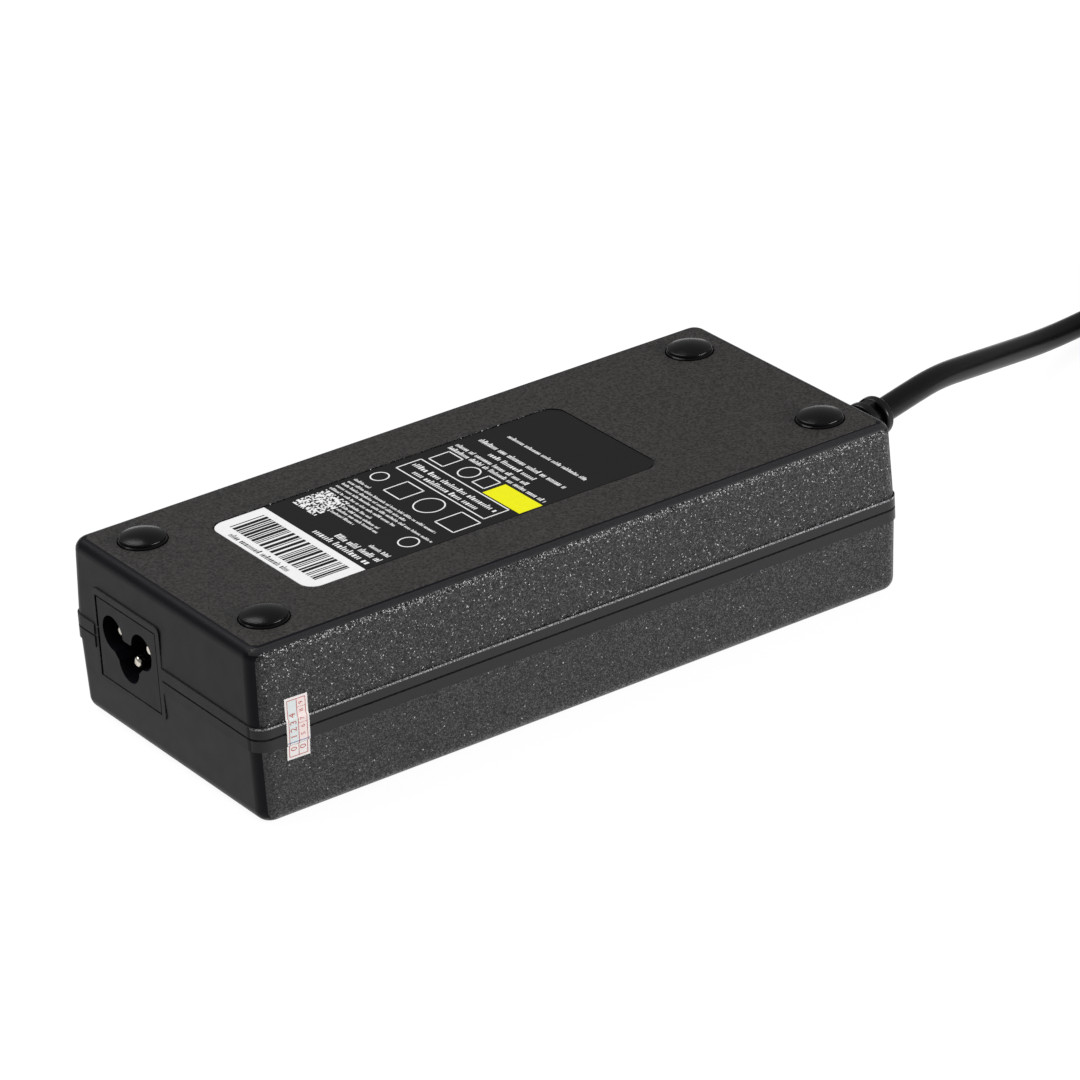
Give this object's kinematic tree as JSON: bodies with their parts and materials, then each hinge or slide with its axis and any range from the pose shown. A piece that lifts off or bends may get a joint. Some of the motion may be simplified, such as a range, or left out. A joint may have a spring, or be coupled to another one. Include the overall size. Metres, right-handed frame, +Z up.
{
  "type": "laptop power adapter",
  "caption": "Slim rectangular power adapter with a cloverleaf mains inlet, domed rubber feet, a bent segmented strain relief and an output lead coiled to a barrel plug.",
  "frame": {"origin": "centre of the plain cover's underside, on which the adapter lies with its label and feet upwards", "axes": "+X along the housing from the mains inlet to the output lead, +Z up through the label, +Y across the housing"},
  "size_m": [0.3484, 0.082, 0.0367],
  "materials": {
    "housing": "coarse spark-eroded texture, warm near-black",
    "foot_rubber": "satin black rubber",
    "label_film": "printed polyester film, satin",
    "paper": "coated white paper",
    "inlet_plastic": "smooth satin black thermoplastic",
    "pin_nickel": "bright nickel plating on brass",
    "wire_insulation": "extruded insulation",
    "relief_pvc": "moulded soft black vinyl, satin",
    "cord_pvc": "extruded black vinyl jacket, satin gloss",
    "tie_strap": "woven hook-and-loop strap",
    "board": "green solder mask on glass epoxy",
    "component_black": "moulded component body",
    "disc_blue": "dipped coating",
    "capacitor_yellow": "moulded box",
    "ferrite": "ground ferrite",
    "copper": "enamelled copper winding",
    "aluminium": "mill finish sheet",
    "polyester_sheet": "translucent polyester film",
    "silicone_pad": "soft thermal pad"
  },
  "bodies": {
    "root": {"base_heat_spreader": "aluminium", "base_shell": "housing", "board_insulating_sheet": "polyester_sheet", "bridge_rectifier": "component_black", "bulk_capacitor": "component_black", "circuit_board": "board", "component_insulating_liner": "polyester_sheet", "control_chips": "component_black", "cord_tie": "tie_strap", "cover_heat_spreader": "aluminium", "cover_shell": "housing", "filter_choke_core": "ferrite", "filter_choke_winding": "copper", "foot_1": "foot_rubber", "foot_2": "foot_rubber", "foot_3": "foot_rubber", "foot_4": "foot_rubber", "fuse": "component_black", "inlet_body": "inlet_plastic", "inlet_earth_pin": "pin_nickel", "inlet_line_pin": "pin_nickel", "inlet_neutral_pin": "pin_nickel", "inlet_wires": "wire_insulation", "optocoupler": "component_black", "output_capacitors": "component_black", "output_choke": "ferrite", "output_lead_coil": "cord_pvc", "output_lead_stretch": "cord_pvc", "output_lead_tail": "cord_pvc", "output_rectifier": "component_black", "output_wires": "wire_insulation", "pfc_choke_core": "ferrite", "pfc_choke_winding": "copper", "plug_barrel": "pin_nickel", "plug_centre_contact": "pin_nickel", "plug_grip": "relief_pvc", "plug_insulator": "inlet_plastic", "power_transistors": "component_black", "primary_heat_sink": "aluminium", "rating_label": "label_film", "seal_sticker": "paper", "secondary_heat_sink": "aluminium", "strain_relief": "relief_pvc", "thermal_pad": "silicone_pad", "thermistor": "component_black", "transformer_bobbin": "component_black", "transformer_core": "ferrite", "transformer_winding": "copper", "varistor": "disc_blue", "x_capacitor": "capacitor_yellow", "y_capacitors": "disc_blue"}
  },
  "joints": []
}
